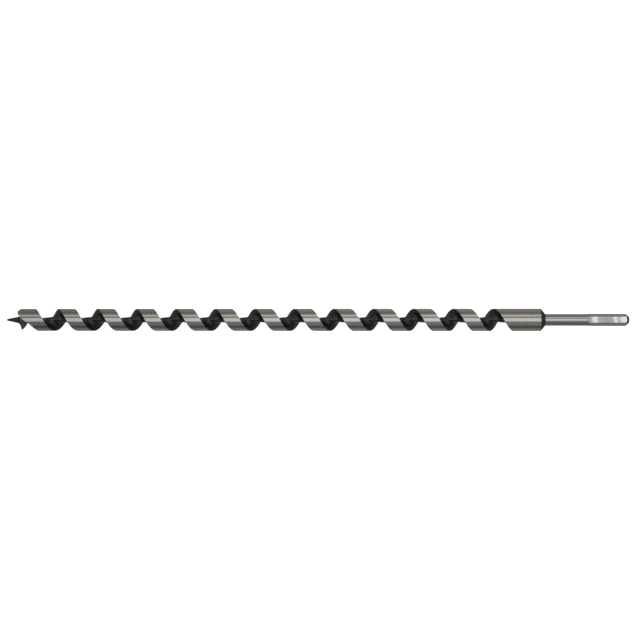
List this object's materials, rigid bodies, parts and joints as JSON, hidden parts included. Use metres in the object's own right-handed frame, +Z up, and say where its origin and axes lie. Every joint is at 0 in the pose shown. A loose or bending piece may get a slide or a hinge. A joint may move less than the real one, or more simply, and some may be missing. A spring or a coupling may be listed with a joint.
{
  "type": "auger drill bit",
  "caption": "Long right-hand auger bit for wood: threaded screw point, round-nosed spur, cutting lip, deep open flute, full-diameter collar, round neck and hex drive end.",
  "frame": {"origin": "under the middle of the tool's length, on the surface it lies on", "axes": "+X along the tool axis towards the hex drive end, the screw point at -X, +Z up, +Y completes the right-handed frame"},
  "size_m": [0.6154, 0.022, 0.022],
  "materials": {
    "blackened_steel": "black heat-treatment scale, satin",
    "ground_steel": "ground on the outside diameter, fine lines along the axis",
    "turned_steel": "finely turned and milled, bright"
  },
  "bodies": {
    "root": {"lead_screw": "blackened_steel", "cutting_lip": "blackened_steel", "head": "blackened_steel", "spur": "ground_steel", "twist": "ground_steel", "collar": "ground_steel", "shank_neck": "turned_steel", "hex_drive": "turned_steel"}
  },
  "joints": []
}
